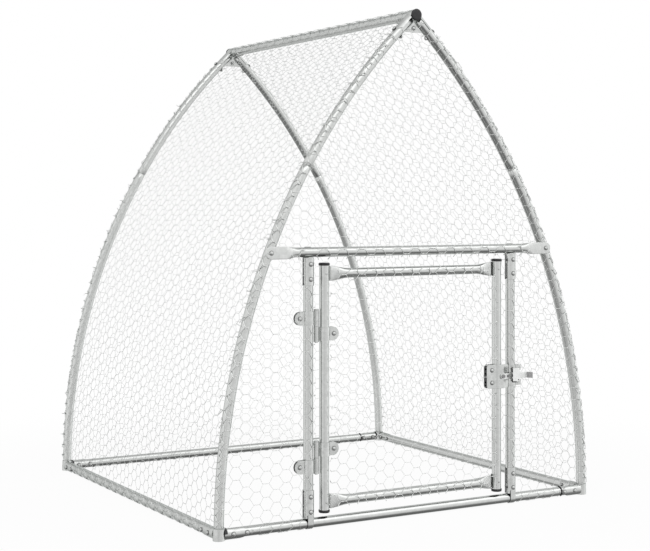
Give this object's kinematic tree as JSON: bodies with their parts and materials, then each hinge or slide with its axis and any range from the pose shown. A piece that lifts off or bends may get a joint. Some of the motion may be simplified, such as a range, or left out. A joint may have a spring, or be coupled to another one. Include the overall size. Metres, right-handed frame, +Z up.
{
  "type": "chicken coop",
  "caption": "Walk-in poultry run shaped like a pointed arch: galvanised tube frame bolted with pressed corner fittings, hexagonal wire netting and a hinged door with a lift latch.",
  "frame": {"origin": "on the ground, under the middle of the coop's box", "axes": "+X to the right as seen from the door, +Y from the door to the back, +Z up"},
  "size_m": [1.1644, 1.1222, 1.3313],
  "materials": {
    "galvanised_tube": "hot-dip galvanised, satin",
    "pressed_fitting": "zinc plated, satin",
    "netting_wire": "galvanised wire",
    "black_cap": "moulded, matt"
  },
  "bodies": {
    "frame": {"apex_fitting_front": "pressed_fitting", "apex_fitting_rear": "pressed_fitting", "arch_lower_front_left": "galvanised_tube", "arch_lower_front_right": "galvanised_tube", "arch_lower_rear_left": "galvanised_tube", "arch_lower_rear_right": "galvanised_tube", "arch_upper_front_left": "galvanised_tube", "arch_upper_front_right": "galvanised_tube", "arch_upper_rear_left": "galvanised_tube", "arch_upper_rear_right": "galvanised_tube", "corner_fitting_front_left": "pressed_fitting", "corner_fitting_front_right": "pressed_fitting", "corner_fitting_rear_left": "pressed_fitting", "corner_fitting_rear_right": "pressed_fitting", "door_head_bar": "galvanised_tube", "door_post_left": "galvanised_tube", "door_post_right": "galvanised_tube", "front_net_left": "netting_wire", "front_net_right": "netting_wire", "front_net_upper": "netting_wire", "ground_tube_front": "galvanised_tube", "ground_tube_left": "galvanised_tube", "ground_tube_rear": "galvanised_tube", "ground_tube_right": "galvanised_tube", "hinge_pin_lower": "pressed_fitting", "hinge_pin_upper": "pressed_fitting", "hinge_post_clamp_lower": "pressed_fitting", "hinge_post_clamp_upper": "pressed_fitting", "latch_keeper": "pressed_fitting", "post_strap_ground_left": "pressed_fitting", "post_strap_ground_right": "pressed_fitting", "post_strap_head_left": "pressed_fitting", "post_strap_head_right": "pressed_fitting", "rear_net": "netting_wire", "ridge_end_caps": "black_cap", "ridge_tube": "galvanised_tube", "side_net_left": "netting_wire", "side_net_right": "netting_wire"},
    "door": {"door_end_caps": "black_cap", "door_net": "netting_wire", "door_rail_bottom": "galvanised_tube", "door_rail_top": "galvanised_tube", "door_stile_left": "galvanised_tube", "door_stile_right": "galvanised_tube", "hinge_door_clamp_lower": "pressed_fitting", "hinge_door_clamp_upper": "pressed_fitting", "latch_back_plate": "pressed_fitting", "latch_front_plate": "pressed_fitting", "latch_rivet": "pressed_fitting"},
    "latch_lever": {"latch_lever": "pressed_fitting"}
  },
  "joints": [
    {"name": "door_swing", "type": "hinge", "parent": "frame", "child": "door", "pos_m": [-0.29425, -0.52893, 0.3445], "axis": [0, 0, -1], "range_deg": [0, 95]},
    {"name": "latch_lift", "type": "hinge", "parent": "door", "child": "latch_lever", "pos_m": [0.281, -0.52893, 0.351], "axis": [0, -1, 0], "range_deg": [0, 80]}
  ]
}
